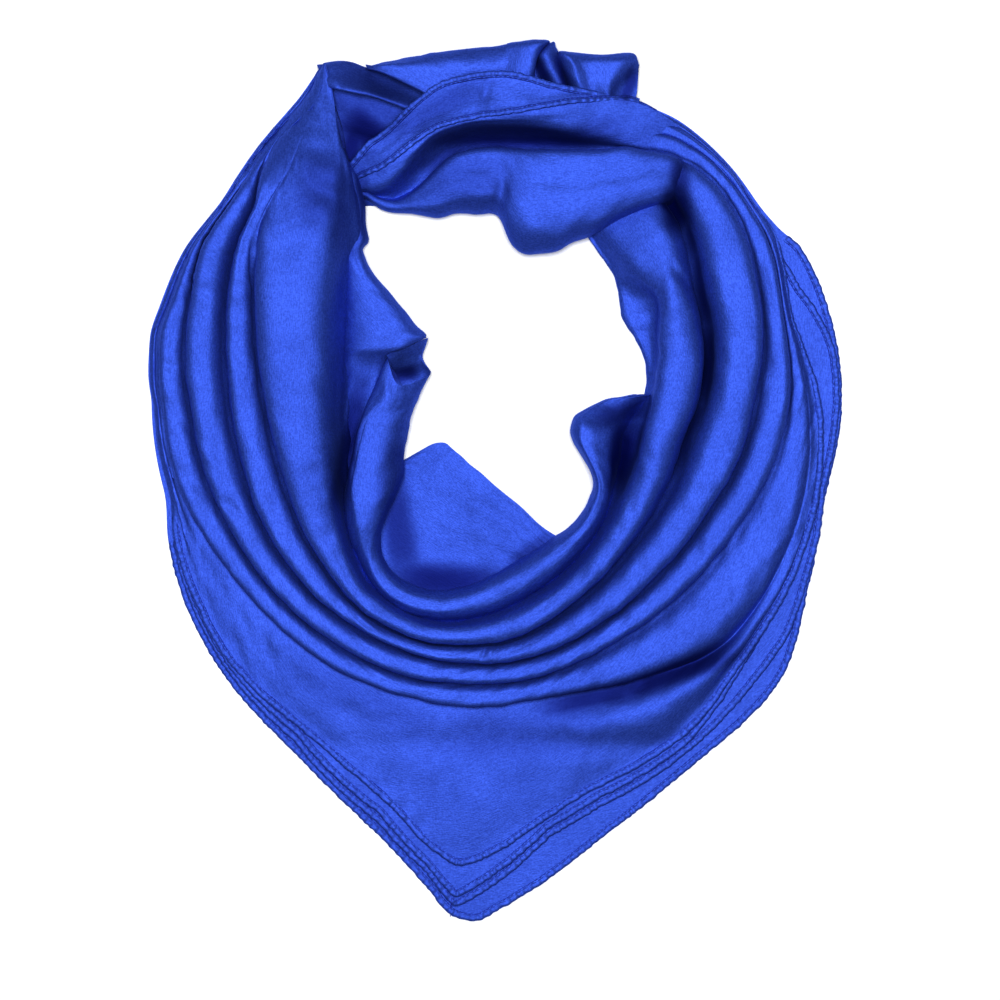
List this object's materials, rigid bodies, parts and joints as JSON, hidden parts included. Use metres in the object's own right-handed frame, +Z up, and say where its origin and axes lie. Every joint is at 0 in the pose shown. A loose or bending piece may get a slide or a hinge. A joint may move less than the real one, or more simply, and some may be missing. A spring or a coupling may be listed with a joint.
{
  "type": "square scarf",
  "caption": "Square satin scarf folded in a ring, with soft rolls round an open neck and hemmed corners at one end.",
  "frame": {"origin": "centre of the scarf's outline, on the surface it lies on", "axes": "+Z up off the surface, +Y from the hemmed corners towards the top of the ring, +X to the right seen from above"},
  "size_m": [0.416, 0.5276, 0.0342],
  "materials": {
    "satin": "royal blue satin weave with a soft sheen"
  },
  "bodies": {
    "root": {"scarf": "satin"}
  },
  "joints": []
}
